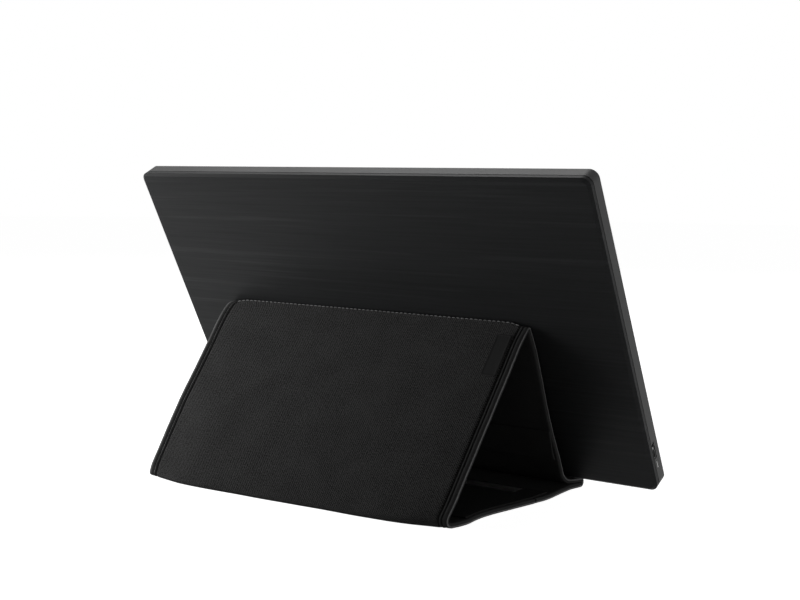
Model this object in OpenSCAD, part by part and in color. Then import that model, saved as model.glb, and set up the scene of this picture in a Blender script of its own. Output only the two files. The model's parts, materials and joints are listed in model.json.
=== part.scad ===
// Portable monitor leaning on its cloth-covered folding cover.
// Row frame: +Z up, origin on the table at the middle of the footprint.
// The screen faces -Y. The cover is one cloth strip with boards in it, folded into
// a closed three-sided stand: flap, outer panel, inner panel, toe and base.

/* [Display] */
// Width of the display
disp_w = 382; // [350:1:420]
// Height of the display
disp_h = 235.5; // [215:0.5:270]
// Thickness of the display
disp_t = 13.6; // [11.8:0.1:16]
// Radius of the display's corners, seen from the front
disp_r = 6; // [5:0.5:12]
// Lean of the display from upright, in degrees
lean = 27.5; // [20:0.5:34]

/* [Display shells] */
// Depth of the front frame's side wall
frame_depth = 9.1; // [8.6:0.1:9.4]
// Wall of the two shells
shell_wall = 1.6; // [1.2:0.1:2]
// Thickness of the rear cover's back
back_t = 1.4; // [1:0.1:1.6]
// Open seam between the frame and the rear cover
seam_gap = 0.6; // [0.2:0.1:0.6]
// Height of the sloping rim round the back
rim_h = 2.1; // [1:0.1:3.5]
// Depth of the sloping rim round the back
rim_d = 1.5; // [1:0.1:2.2]
// Bevel round the front edge
front_bevel = 0.4; // [0.3:0.1:1.2]
// Depth of the rear cover's lap inside the frame
lap_depth = 2; // [1:0.1:2.4]
// Thickness of the rear cover's lap
lap_t = 1; // [0.6:0.1:1.4]
// Running gap between the lap and the frame
lap_clear = 0.1; // [0.05:0.05:0.2]
// Spacing of the ribs inside the rear cover
rib_step = 36; // [28:1:60]
// Thickness of those ribs
rib_t = 1; // [0.6:0.1:1.6]
// Height of those ribs
rib_h = 1.6; // [0.8:0.1:2.2]

/* [Screen] */
// Bezel beside the screen
bezel_side = 18.4; // [14:0.1:21]
// Bezel above the screen
bezel_top = 15.5; // [12:0.1:20]
// Bezel below the screen
bezel_bottom = 25.4; // [24:0.1:30]
// Thickness of the bezel
bezel_t = 1.2; // [0.9:0.1:1.4]
// Thickness of the foam gasket round the screen
gasket_t = 0.3; // [0.2:0.05:0.5]
// Width of the foam gasket
gasket_w = 2; // [1:0.1:2.4]
// Thickness of the liquid crystal panel
glass_t = 1.1; // [0.8:0.1:1.3]
// Thickness of the stack of optical films
film_t = 0.4; // [0.2:0.1:0.6]
// Thickness of the light guide
guide_t = 1.2; // [0.8:0.1:1.3]
// Thickness of the reflector sheet
mirror_t = 0.2; // [0.1:0.05:0.3]
// Wall of the steel tray behind the screen
tray_t = 0.4; // [0.3:0.05:0.5]
// Reach of the screen module behind the bezel, sides and top
module_edge = 3.2; // [2.6:0.1:3.6]
// Reach of the screen module behind the bezel, bottom
module_ledge = 9.4; // [6:0.1:10]
// Play of the sheets inside the tray
tray_play = 0.2; // [0.1:0.05:0.3]
// Height of the strip of lamps under the light guide
lamp_h = 1.2; // [0.8:0.1:1.6]

/* [Electronics] */
// Length of the main board
board_l = 90; // [70:1:110]
// Height of the main board
board_h = 58; // [50:1:70]
// Thickness of the circuit boards
pcb_t = 1; // [0.8:0.1:1.1]
// Height of the posts that carry the main board
post_h = 3; // [2.5:0.1:3]
// Radius of those posts
post_r = 2.4; // [2.1:0.1:3]
// Distance from the main board's edges to its screws
screw_inset = 4; // [3.5:0.1:6]
// Radius of the small screws' shanks
screw_r = 1; // [0.8:0.05:1.1]
// Radius of the small screws' heads
head_r = 1.9; // [1.6:0.1:2.2]
// Height of the small screws' heads
head_h = 0.8; // [0.5:0.1:0.9]
// Radial clearance round a screw's shank
screw_clear = 0.05; // [0.05:0.01:0.1]
// Length of the timing board behind the screen
timing_l = 220; // [160:1:240]
// Height of the timing board
timing_h = 12; // [9:0.5:14]
// Width of the side brackets that hold the screen module
bracket_w = 17; // [15:0.5:19]
// Length of the side brackets
bracket_l = 150; // [120:1:160]
// Thickness of the side brackets
bracket_t = 0.8; // [0.5:0.1:0.9]
// Side of the foam pads behind the screen module
pad_w = 18; // [10:1:24]

/* [Socket and buttons] */
// Height of the socket's centre above the display's lower edge
socket_z = 30; // [24:0.5:44]
// Length of the socket's mouth
socket_l = 12.2; // [11.4:0.1:13]
// Height of the socket's mouth
socket_h = 2.8; // [2.6:0.1:3]
// Depth of the socket
socket_d = 7; // [6:0.1:8]
// Wall of the socket's shell
socket_wall = 0.3; // [0.2:0.05:0.35]
// Gap between the socket's shell and its window
window_gap = 0.3; // [0.2:0.05:0.5]
// Length of a push button
button_l = 9; // [6:0.5:12]
// Width of a push button
button_w = 3.2; // [2.4:0.1:4]
// Travel of a push button
button_travel = 0.4; // [0.2:0.05:0.5]
// How far a push button stands out of the bezel
button_proud = 0.5; // [0.5:0.1:0.8]
// Distance between the two push buttons
button_step = 18; // [16:0.5:24]
// Distance of the outer push button from the display's side
button_side = 24; // [22:0.5:34]
// Height of the push buttons above the display's lower edge
button_z = 9; // [8:0.1:9.5]
// Gap round a push button
button_gap = 0.2; // [0.15:0.05:0.3]
// Radius of the status lamp's lens
lens_r = 0.8; // [0.5:0.1:1]

/* [Cover strip] */
// Length of the strip's folds
cover_l = 262; // [230:1:290]
// Thickness of the boards in the strip
board_t = 2; // [1.6:0.1:2.4]
// Thickness of the woven cloth on the strip's outer side
cloth_t = 0.6; // [0.4:0.05:0.8]
// Thickness of the lining on the strip's inner side
lining_t = 0.6; // [0.4:0.05:0.8]
// Width of the binding along the strip's two cut edges
bind_w = 6; // [4:0.5:8]
// Thickness of the binding round the cut edge
bind_t = 0.8; // [0.5:0.1:1.2]
// Groove between the binding and the cloth
bind_gap = 0.3; // [0.2:0.05:0.5]
// Radius of the boards' corners
board_r = 3; // [1:0.5:5]
// Gap between two layers of the strip that lie on each other
layer_gap = 0.3; // [0.2:0.05:0.4]
// Clearance of a panel's edge from its neighbour at a fold
fold_clear = 0.3; // [0.2:0.05:0.5]

/* [Stand] */
// Sideways shift of the stand from the middle of the display
stand_shift = 5; // [-15:1:15]
// Height of the ridge above the table
ridge_h = 118.5; // [105:0.5:125]
// Distance of the near bottom fold behind the display's lower back edge
foot_back = 157; // [145:1:170]
// Distance of the inner panel's lower fold behind that edge
inner_back = 10; // [8:0.5:14]
// Reach of the toe in front of that edge
toe_front = 10.5; // [9:0.5:14]
// Length of the base panel
base_l = 66.5; // [62:0.5:72]
// Gap between the ends of the base and the flap
butt_gap = 1.2; // [0.6:0.1:2]
// Reach of the closing tongue over the base
tongue_base = 18; // [16:0.5:22]
// Reach of the closing tongue over the flap
tongue_flap = 77; // [60:1:82]
// Thickness of the closing tongue
tongue_t = 1.3; // [1.1:0.1:1.6]
// Gap between the leaning display and the ridge
lean_gap = 0.3; // [0.2:0.05:0.5]
// Gap between the display's lower edge and the toe
seat_gap = 0.2; // [0.1:0.05:0.3]
// Turn of the inner panel from rest to the flattest stand, in degrees
flatten = 30; // [20:1:32]
// Radius of the closure magnets
magnet_r = 4; // [3:0.5:5]
// Thickness of the closure magnets
magnet_t = 1.2; // [0.8:0.1:1.4]
// Thickness of the steel keeper in the tongue
keeper_t = 0.5; // [0.3:0.1:0.6]

/* [Tag and stitches] */
// Width of the sewn tag
tag_w = 13.5; // [10:0.5:18]
// Length of the sewn tag
tag_l = 33; // [24:1:40]
// Thickness of the sewn tag
tag_t = 0.8; // [0.4:0.1:1]
// Distance of the tag from the ridge
tag_s = 8; // [6:0.5:14]
// Spacing of the stitches along the ridge
stitch_step = 3.9; // [3.2:0.1:5]
// Length of one stitch
stitch_l = 2.5; // [1.5:0.1:2.8]
// Radius of the thread
stitch_r = 0.28; // [0.2:0.02:0.4]

/* [Hidden] */
$fn = 48;

// A cut runs this far past what it cuts
over = 1;

// Strip, seen from its end: heights and fold lines in the y-z plane.
// y is counted from the display's lower back edge line until the last step.
cover_t = board_t + cloth_t + lining_t;
fold_r = cover_t / 2;
stack_h = 2 * cover_t + layer_gap;
edge_z = stack_h + seat_gap - rim_d * sin(lean);
edge_line = [rim_h * sin(lean), edge_z + rim_h * cos(lean)];
inner_axis = [inner_back, stack_h - fold_r];
back_dir = 90 - lean;
ridge_off = fold_r + lean_gap;
ridge_axis = [edge_line[0] + (ridge_off + (ridge_h - edge_line[1]) * cos(back_dir)) / sin(back_dir),
              ridge_h];
foot_axis = [foot_back, fold_r];
inner_l = norm(ridge_axis - inner_axis);
outer_l = norm(foot_axis - ridge_axis);
inner_dir = atan2(ridge_axis[1] - inner_axis[1], ridge_axis[0] - inner_axis[0]);
outer_dir = atan2(ridge_axis[1] - foot_axis[1], foot_axis[0] - ridge_axis[0]);

// The flattest stand: the foot is on the table again, and the display still clears the ridge
flat_ridge = inner_axis + inner_l * [cos(inner_dir - flatten), sin(inner_dir - flatten)];
flat_outer = asin((flat_ridge[1] - fold_r) / outer_l);
flat_reach = flat_ridge - edge_line;
flat_back = atan2(flat_reach[1], flat_reach[0]) + asin(ridge_off / norm(flat_reach));

// Where each layer of a panel may start, counted from its fold line
ridge_half = (180 - inner_dir - outer_dir) / 2;
foot_half = flat_outer / 2;
function past_roll(n) = sqrt(max(0.01, pow(fold_r + 0.15, 2) - n * n));
function start_at(half, n) = max(past_roll(n), n / tan(half) + fold_clear);
cloth_start = past_roll(board_t / 2);

// Base, flap and footprint
base_end = base_l - toe_front;
flap_l = foot_back - base_end - butt_gap;
front_y = -toe_front - stack_h / 2;
middle_y = (front_y + foot_back + fold_r) / 2;

// Display, in its own frame: x across, z up its back, y = 0 on its back and -disp_t on its front
seam_y = frame_depth - disp_t;
lap_in = shell_wall + lap_clear;
cavity_in = lap_in + lap_t;
gasket_y = bezel_t - disp_t;
glass_y = gasket_y + gasket_t;
film_y = glass_y + glass_t;
guide_y = film_y + film_t;
mirror_y = guide_y + guide_t;
tray_y = mirror_y + mirror_t;
module_y = tray_y + tray_t;
module_w = disp_w - 2 * bezel_side + 2 * module_edge;
module_z = bezel_bottom - module_ledge;
module_h = disp_h - bezel_top + module_edge - module_z;
sheet_in = tray_t + tray_play;

// Main board, its screws and the socket on it
board_gap = post_r;
bite = post_h * 0.65;
pcb_y = -back_t - post_h - pcb_t;
pcb_x = cavity_in + board_gap - disp_w / 2;
pcb_z = cavity_in + 4 * board_gap;
pcb_screws = [for (x = [screw_inset, board_l - screw_inset], z = [screw_inset, board_h - screw_inset])
              [pcb_x + x, pcb_z + z]];
rows_z = pcb_z + board_h + board_gap;
shield_w = board_l / 2;
shield_h = board_h * 0.6;
shield_x = pcb_x + 0.31 * board_l;
shield_z = pcb_z + (board_h - shield_h) * 0.6;
shield_top = 1.4;
shield_wall = 0.3;
shield_holes = [5, 4];
chip_t = 1;
plug_h = 0.9;
plug_w = board_l / 18;
ribbon_plug_x = pcb_x + board_l - 3 * plug_w;
socket_x = -disp_w / 2 + 0.5;
socket_y = pcb_y - socket_h;

// Brackets, timing board and pads behind the screen module
bracket_x = (module_w / 2 + disp_w / 2 - cavity_in) / 2;
bracket_z = (disp_h - bracket_l) / 2 + 8;
bracket_posts = [for (f = [0.06, 0.5, 0.94]) bracket_z + f * bracket_l];
timing_t = pcb_t * 0.8;
timing_x = ribbon_plug_x;
timing_z = module_z + timing_h / 4;
timing_plugs = [0.24, 0.58, 0.86];
timing_plug_w = timing_l / 24;
ribbon_w = timing_h * 0.6;
ribbon_t = 0.25;
ribbon_end = timing_x + timing_plugs[0] * timing_l - timing_plug_w / 2 - fold_clear;

// Buttons
button_x = [disp_w / 2 - button_side, disp_w / 2 - button_side - button_step];
flange_t = 0.7;
flange_edge = 0.9;
flange_y = gasket_y + 0.1;
switch_tip_y = flange_y + flange_t + button_travel + 0.05;
switch_h = 1;
tip_h = 0.35;
key_y = switch_tip_y + tip_h + switch_h;
key_end = 2.5 * button_w;

// Closure
magnet_x = [for (f = [-0.36, -0.12, 0.12, 0.36]) f * cover_l];
tongue_in = bind_w + 2;
seam_w = 4;

// ---- places ----

// Carries the display's own frame into the row frame
module on_display() {
    translate([0, -middle_y, edge_z]) rotate([-lean, 0, 0]) children();
}

// Puts a panel's own frame at a fold: y runs along the panel, z out of its cloth side
module on_strip(at, dir) {
    translate([stand_shift, at[0] - middle_y, at[1]]) rotate([dir, 0, 0]) children();
}

module on_base() { on_strip([base_end, fold_r], 180) children(); }
module on_toe() { on_strip([-toe_front, stack_h - fold_r], 0) children(); }
module on_inner() { on_strip(inner_axis, inner_dir) children(); }
module on_outer() { on_strip(ridge_axis, -outer_dir) children(); }
module on_flap() { on_strip(foot_axis, 180) children(); }

// ---- shared shapes ----

// Plate with round corners standing on z = 0. rim lists [inset, y] from one face to the other
module slab(w, h, r, rim) {
    n = len(rim) - 1;
    translate([r - w / 2, 0, 0]) rotate([90, 0, 90]) linear_extrude(w - 2 * r)
        polygon([for (p = rim) [p[1], p[0]], for (i = [n : -1 : 0]) [rim[i][1], h - rim[i][0]]]);
    translate([0, 0, r]) linear_extrude(h - 2 * r)
        polygon([for (p = rim) [p[0] - w / 2, p[1]], for (i = [n : -1 : 0]) [w / 2 - rim[i][0], rim[i][1]]]);
    for (x = [r - w / 2, w / 2 - r], z = [r, h - r])
        translate([x, 0, z]) rotate([-90, 0, 0]) rotate_extrude()
            polygon([[0, rim[0][1]], for (p = rim) [r - p[0], p[1]], [0, rim[n][1]]]);
}

// Plain slab between y0 and y1, set in from the display's outline
module inset_slab(inset, y0, y1) {
    translate([0, 0, inset])
        slab(disp_w - 2 * inset, disp_h - 2 * inset, disp_r - inset, [[0, y0], [0, y1]]);
}

// Block centred on x
module block(w, y0, y1, z0, z1) {
    translate([-w / 2, y0, z0]) cube([w, y1 - y0, z1 - z0]);
}

// Round bar along y
module peg(x, y0, y1, z, r) {
    translate([x, y0, z]) rotate([-90, 0, 0]) cylinder(r = r, h = y1 - y0);
}

// Flat plate along y with a long rounded outline, lying across x
module pill(l, w, y0, y1) {
    translate([0, y1, 0]) rotate([90, 0, 0]) linear_extrude(y1 - y0) {
        square([l - w, w], center = true);
        for (x = [w - l, l - w]) translate([x / 2, 0]) circle(d = w);
    }
}

// Rounded rectangle, corner radius r, from [x0, y0] to [x1, y1]
module round_rect(x0, y0, x1, y1, r) {
    translate([x0 + r, y0]) square([x1 - x0 - 2 * r, y1 - y0]);
    translate([x0, y0 + r]) square([x1 - x0, y1 - y0 - 2 * r]);
    for (x = [x0 + r, x1 - r], y = [y0 + r, y1 - r]) translate([x, y]) circle(r = r);
}

// ---- display ----

module rear_cover() {
    color("#26272a") on_display() {
        difference() {
            slab(disp_w, disp_h, disp_r,
                 [[0, seam_y + seam_gap / 2], [0, -rim_d], [rim_h, 0]]);
            inset_slab(cavity_in, -disp_t, -back_t);
        }
        rear_lap();
        rear_ribs();
        for (p = pcb_screws) board_post(p[0], p[1]);
    }
}

// Lap that slides inside the front frame and closes the seam
module rear_lap() {
    y0 = seam_y - lap_depth;
    difference() {
        inset_slab(lap_in, y0, seam_y + seam_gap);
        inset_slab(cavity_in, y0 - over, seam_y + over);
        socket_window(disp_r);
    }
}

// Stiffening ribs, left out where the main board sits
module rear_ribs() {
    half_w = disp_w / 2 - cavity_in;
    top = disp_h - cavity_in;
    board_x1 = pcb_x + board_l + board_gap;
    columns = floor(half_w / rib_step);
    for (i = [-columns : columns]) {
        x = i * rib_step;
        z0 = x < board_x1 ? rows_z : cavity_in;
        translate([x - rib_t / 2, -back_t - rib_h, z0]) cube([rib_t, rib_h, top - z0]);
    }
    for (z = [rows_z : rib_step : top - rib_step / 2])
        translate([-half_w, -back_t - rib_h, z]) cube([2 * half_w, rib_h, rib_t]);
}

module board_post(x, z) {
    difference() {
        peg(x, pcb_y + pcb_t, -back_t, z, post_r);
        peg(x, pcb_y, -back_t - 0.4, z, screw_r + screw_clear);
    }
}

module front_frame() {
    color("#1c1c1e") on_display() {
        difference() {
            slab(disp_w, disp_h, disp_r,
                 [[front_bevel, -disp_t], [0, front_bevel - disp_t], [0, seam_y - seam_gap / 2]]);
            inset_slab(shell_wall, gasket_y, disp_t);
            block(disp_w - 2 * bezel_side, -disp_t - over, gasket_y + over,
                  bezel_bottom, disp_h - bezel_top);
            for (x = button_x) translate([x, 0, button_z])
                pill(button_l + 2 * button_gap, button_w + 2 * button_gap,
                     -disp_t - over, gasket_y + over);
            peg(lens_x(), -disp_t - over, gasket_y + over, button_z, lens_r + screw_clear);
            socket_window(shell_wall + over);
        }
        for (s = [-1, 1], z = bracket_posts) difference() {
            peg(s * bracket_x, gasket_y, module_y, z, post_r);
            peg(s * bracket_x, gasket_y + 0.6, module_y + over, z, screw_r + screw_clear);
        }
        for (x = key_posts()) peg(x, gasket_y, key_y, button_z, post_r * 0.7);
    }
}

// Window for the socket through the side wall and the lap
module socket_window(depth) {
    translate([-disp_w / 2 - over, socket_y - window_gap, socket_z - socket_l / 2 - window_gap])
        cube([depth + over, socket_h + 2 * window_gap, socket_l + 2 * window_gap]);
}

function lens_x() = (button_x[0] + button_x[1]) / 2;
function key_posts() = [button_x[0] + button_l / 2 + key_end / 2,
                        button_x[1] - button_l / 2 - key_end / 2];

module screen_gasket() {
    color("#111111") on_display() difference() {
        block(disp_w - 2 * bezel_side + 2 * gasket_w, gasket_y, glass_y,
              bezel_bottom - gasket_w, disp_h - bezel_top + gasket_w);
        block(disp_w - 2 * bezel_side, gasket_y - over, glass_y + over,
              bezel_bottom, disp_h - bezel_top);
    }
}

// One sheet of the screen module, from y0 to y1, from lift above the tray's floor edge
module sheet_layer(y0, y1, lift) {
    block(module_w - 2 * sheet_in, y0, y1, module_z + sheet_in + lift, module_z + module_h - sheet_in);
}

module lcd_panel() { color("#0b0c0e") on_display() sheet_layer(glass_y, film_y, 0); }
module optical_films() { color("#e8e8ea") on_display() sheet_layer(film_y, guide_y, lamp_h + tray_play); }
module light_guide() { color("#f2f5f8") on_display() sheet_layer(guide_y, mirror_y, lamp_h + tray_play); }
module reflector() { color("#ffffff") on_display() sheet_layer(mirror_y, tray_y, 0); }

module led_strip() {
    z0 = module_z + sheet_in;
    lamp_step = 12;
    lamp_w = 4;
    count = floor((module_w - 2 * sheet_in) / lamp_step) - 1;
    color("#f4e9a8") on_display() {
        block(module_w - 2 * sheet_in, mirror_y - 0.4, mirror_y, z0, z0 + lamp_h);
        for (i = [0 : count - 1])
            translate([(i - (count - 1) / 2) * lamp_step, 0, 0])
                block(lamp_w, film_y + 0.1, mirror_y - 0.4, z0, z0 + lamp_h);
    }
}

module panel_tray() {
    color("#8b8e92") on_display() difference() {
        block(module_w, glass_y, module_y, module_z, module_z + module_h);
        block(module_w - 2 * tray_t, glass_y - over, tray_y, module_z + tray_t,
              module_z + module_h - tray_t);
    }
}

module panel_brackets() {
    color("#9a9da1") on_display() for (s = [-1, 1]) difference() {
        translate([s * (bracket_x - 5), module_y + bracket_t, 0]) rotate([90, 0, 0])
            linear_extrude(bracket_t) difference() {
                round_rect(-bracket_w / 2, bracket_z, bracket_w / 2, bracket_z + bracket_l, 2);
                for (f = [0.2 : 0.2 : 0.8])
                    translate([-s * 3, bracket_z + f * bracket_l + 6]) square([6, 12], center = true);
            }
        for (z = bracket_posts)
            peg(s * bracket_x, module_y - over, module_y + bracket_t + over, z, screw_r + screw_clear);
    }
}

// Pan-head screw along y: its head starts at y and its shank runs to -y
module screw_back(x, y, z, l) {
    peg(x, y, y + head_h, z, head_r);
    peg(x, y - l, y, z, screw_r);
}

module panel_screws() {
    color("#6f7276") on_display() for (s = [-1, 1], z = bracket_posts)
        screw_back(s * bracket_x, module_y + bracket_t, z, bracket_t + bite);
}

module foam_pads() {
    z_low = module_z + 0.46 * module_h;
    z_high = module_z + 0.86 * module_h;
    color("#3a3a3c") on_display() for (x = [-0.32, -0.12, 0.12, 0.32], z = [z_low, z_high])
        translate([pad_x(x * module_w), 0, 0]) block(pad_w, module_y, -back_t, pad_z(z), pad_z(z) + pad_w);
}

// A pad sits in the middle between two ribs
function pad_x(x) = (floor(x / rib_step) + 0.5) * rib_step;
function pad_z(z) = rib_row(z) + (rib_step - pad_w + rib_t) / 2;
function rib_row(z) = rows_z + rib_step * floor((z - rows_z) / rib_step);

module main_board() {
    color("#1d5a36") on_display() {
        difference() {
            translate([pcb_x, pcb_y, pcb_z]) cube([board_l, pcb_t, board_h]);
            for (p = pcb_screws) peg(p[0], pcb_y - over, 0, p[1], screw_r + screw_clear);
        }
        for (c = [[0.14, 0.35, 0.25], [0.58, 0.3, 0.2]])
            translate([shield_x + c[0] * shield_w, pcb_y - chip_t, shield_z + c[1] * shield_h])
                cube([c[2] * shield_w, chip_t, c[1] * shield_h]);
        translate([ribbon_plug_x, pcb_y - plug_h, timing_z + timing_h / 8])
            cube([plug_w, plug_h, ribbon_w + timing_h / 8]);
    }
}

module board_shield() {
    y0 = pcb_y - shield_top;
    color("#b9bcc0") on_display() difference() {
        translate([shield_x, y0, shield_z]) cube([shield_w, shield_top, shield_h]);
        translate([shield_x + shield_wall, y0 + shield_wall, shield_z + shield_wall])
            cube([shield_w - 2 * shield_wall, shield_top, shield_h - 2 * shield_wall]);
        for (i = [1 : shield_holes[0]], j = [1 : shield_holes[1]])
            peg(shield_x + i * shield_w / (shield_holes[0] + 1), y0 - over, y0 + over,
                shield_z + j * shield_h / (shield_holes[1] + 1), screw_r * 0.9);
    }
}

module board_screws() {
    color("#6f7276") on_display() for (p = pcb_screws) {
        peg(p[0], pcb_y - head_h, pcb_y, p[1], head_r);
        peg(p[0], pcb_y, pcb_y + pcb_t + bite, p[1], screw_r);
    }
}

module timing_board() {
    color("#1d5a36") on_display() {
        translate([timing_x, module_y, timing_z]) cube([timing_l, timing_t, timing_h]);
        for (f = timing_plugs) translate([timing_x + f * timing_l, 0, 0])
            block(timing_plug_w, module_y + timing_t, module_y + timing_t + plug_h,
                  timing_z + timing_h / 6, timing_z + timing_h * 2 / 3);
    }
}

// Flat ribbon from the timing board's back to the connector on the main board
module panel_ribbon() {
    low = module_y + timing_t;
    high = pcb_y - plug_h - ribbon_t;
    bend_a = ribbon_plug_x + 1.5 * plug_w;
    bend_b = bend_a + (ribbon_end - bend_a) / 2;
    path = [[ribbon_plug_x + 0.2 * plug_w, high], [bend_a, high], [bend_b, low], [ribbon_end, low]];
    color("#c9a227") on_display() translate([0, 0, timing_z + timing_h / 6]) linear_extrude(ribbon_w)
        polygon([for (p = path) p, for (i = [3 : -1 : 0]) path[i] + [0, ribbon_t]]);
}

// Mouth outline of the two-lobed socket, set in by t: a wide lobe, a small one and a neck.
// x runs up the display, y away from the board
module socket_outline(t) {
    wide = 0.6 * socket_l;
    small = 0.33 * socket_l;
    slope = 0.9;
    translate([-socket_l / 2, 0]) polygon([
        [t, socket_h - t], [t, slope + t / 2], [slope + t / 2, t],
        [wide - slope - t / 2, t], [wide - t, slope + t / 2], [wide - t, socket_h - t]]);
    translate([socket_l / 2 - small, 0]) polygon([
        [t, socket_h - t], [t, slope + t / 2], [slope + t / 2, t],
        [small - slope - t / 2, t], [small - t, slope + t / 2], [small - t, socket_h - t]]);
    translate([-socket_l / 2 + wide - over, socket_h / 2 + t])
        square([socket_l - wide - small + 2 * over, socket_h / 2 - 2 * t]);
}

// Extrudes an outline from the socket's mouth inwards, between two depths
module along_socket(d0, d1) {
    translate([socket_x + d0, pcb_y, socket_z]) rotate([0, 90, 0]) rotate([0, 0, 180])
        linear_extrude(d1 - d0) children();
}

module usb_socket() {
    color("#a6a9ad") on_display() difference() {
        along_socket(0, socket_d) socket_outline(0);
        along_socket(-over, socket_d - socket_wall) socket_outline(socket_wall);
    }
}

module socket_tongue() {
    color("#17181a") on_display() along_socket(1, socket_d - socket_wall) {
        translate([-socket_l / 2 + 1.5, socket_h / 2 - 0.1]) square([0.6 * socket_l - 3, 0.6]);
        translate([socket_l / 2 - 0.33 * socket_l + 1.1, socket_h / 2 - 0.1])
            square([0.33 * socket_l - 2.2, 0.6]);
    }
}

module key_board() {
    x0 = key_posts()[1] - key_end / 2;
    x1 = key_posts()[0] + key_end / 2;
    color("#1d5a36") on_display() translate([x0, key_y, button_z - key_end / 2])
        cube([x1 - x0, timing_t, key_end]);
}

module key_switches() {
    color("#2b2c2e") on_display() for (x = button_x) {
        translate([x, 0, 0]) block(button_w, key_y - switch_h, key_y,
                                   button_z - button_w / 2, button_z + button_w / 2);
        peg(x, switch_tip_y, key_y - switch_h, button_z, button_w / 4);
    }
}

module status_lens() {
    color("#dfe8ee") on_display() peg(lens_x(), -disp_t, key_y, button_z, lens_r);
}

// Push button: a cap through the bezel and a flange that keeps it in
module push_button(x) {
    translate([x, 0, button_z]) {
        pill(button_l, button_w, -disp_t - button_proud, flange_y);
        pill(button_l + 2 * flange_edge, button_w + 2 * flange_edge, flange_y, flange_y + flange_t);
    }
}

module power_button() { color("#303134") on_display() push_button(button_x[0]); }
module menu_button() { color("#303134") on_display() push_button(button_x[1]); }

// ---- cover strip ----

// Board of a panel from a to b along it. Its ends are cut to a hundredth of a millimetre, so
// that its straight sides and round corners meet exactly
function trim_up(v) = ceil(v * 100) / 100;
function trim_down(v) = floor(v * 100) / 100;
module stiff_board(a, b) {
    half = cover_l / 2 - bind_t;
    translate([0, 0, -board_t / 2]) linear_extrude(board_t)
        round_rect(-half, trim_up(a), half, trim_down(b), min(board_r, trim_down((b - a) / 4)));
}

// Sheet on the cloth side (side = 1) or the lining side (side = -1) of a panel
module face_sheet(a, b, t, side) {
    half = cover_l / 2 - bind_w - bind_gap;
    translate([-half, a, side > 0 ? board_t / 2 : -board_t / 2 - t]) cube([2 * half, b - a, t]);
}

// Bindings round both cut edges: a channel from a to b, and its cloth side on to a2 and b2
module edge_binding(a, b, a2, b2) {
    for (s = [-1, 1]) {
        translate([0, b, 0]) rotate([90, 0, 0]) linear_extrude(b - a) difference() {
            translate([s > 0 ? cover_l / 2 - bind_w : -cover_l / 2, -board_t / 2 - lining_t])
                square([bind_w, cover_t]);
            translate([s > 0 ? cover_l / 2 - bind_w - over : bind_t - cover_l / 2, -board_t / 2])
                square([bind_w - bind_t + over, board_t]);
        }
        translate([s > 0 ? cover_l / 2 - bind_w : -cover_l / 2, a2, board_t / 2])
            cube([bind_w, b2 - a2, cloth_t]);
    }
}

// Rolled cloth along a fold line, across the whole strip
module fold_roll() {
    translate([-cover_l / 2, 0, 0]) rotate([0, 90, 0]) cylinder(r = fold_r, h = cover_l);
}

module base_cloth() { color("#2b2b2d") on_base() face_sheet(0, base_l, cloth_t, 1); }
module base_lining() { color("#1f1f21") on_base() face_sheet(0, base_l, lining_t, -1); }
module base_binding() { color("#3a3a3d") on_base() edge_binding(0, base_l, 0, base_l); }

module base_board() {
    color("#5b5247") on_base() difference() {
        stiff_board(0, base_l);
        magnet_discs();
    }
}

// Discs let into the base board from its lining side, under the tongue
module magnet_discs() {
    for (x = magnet_x)
        translate([x, tongue_base / 2, -board_t / 2]) cylinder(r = magnet_r, h = magnet_t);
}

module closure_magnets() { color("#c4c6c8") on_base() magnet_discs(); }

toe_l = toe_front + inner_back;
toe_end = toe_l - fold_r - fold_clear;
module toe_cloth() {
    color("#2b2b2d") on_toe() {
        face_sheet(0, toe_l - cloth_start, cloth_t, 1);
        face_sheet(0, toe_end, lining_t, -1);
    }
}
module toe_board() { color("#5b5247") on_toe() stiff_board(0, toe_end); }
module toe_binding() { color("#3a3a3d") on_toe() edge_binding(0, toe_end, 0, toe_l - cloth_start); }

// Cloth that turns from the toe down and back under it to the base
module toe_fold() {
    color("#2b2b2d") on_strip([-toe_front, stack_h / 2], 0)
        translate([-cover_l / 2, 0, 0]) rotate([90, 0, 90]) linear_extrude(cover_l)
            difference() {
                circle(r = stack_h / 2);
                circle(r = stack_h / 2 - cover_t / 2);
                translate([0, -stack_h]) square([stack_h, 2 * stack_h]);
            }
}

module inner_fold() { color("#2b2b2d") on_inner() fold_roll(); }

inner_lining_end = inner_l - start_at(ridge_half, cover_t / 2);
module inner_cloth() { color("#2b2b2d") on_inner() face_sheet(cloth_start, inner_l - cloth_start, cloth_t, 1); }
module inner_lining() { color("#1f1f21") on_inner() face_sheet(cloth_start, inner_lining_end, lining_t, -1); }
module inner_board() {
    color("#5b5247") on_inner() stiff_board(fold_r + fold_clear, inner_l - start_at(ridge_half, board_t / 2));
}
module inner_binding() {
    color("#3a3a3d") on_inner()
        edge_binding(fold_r + fold_clear, inner_lining_end, cloth_start, inner_l - cloth_start);
}
module ridge_fold() { color("#2b2b2d") on_outer() fold_roll(); }

outer_lining_start = start_at(ridge_half, cover_t / 2);
outer_lining_end = outer_l - start_at(foot_half, cover_t / 2);
module outer_cloth() { color("#333336") on_outer() face_sheet(cloth_start, outer_l - cloth_start, cloth_t, 1); }
module outer_lining() { color("#1f1f21") on_outer() face_sheet(outer_lining_start, outer_lining_end, lining_t, -1); }
module outer_board() {
    color("#5b5247") on_outer()
        stiff_board(start_at(ridge_half, board_t / 2), outer_l - start_at(foot_half, board_t / 2));
}
module outer_binding() {
    color("#3a3a3d") on_outer()
        edge_binding(outer_lining_start, outer_lining_end, cloth_start, outer_l - cloth_start);
}
module foot_fold() { color("#2b2b2d") on_flap() fold_roll(); }

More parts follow.
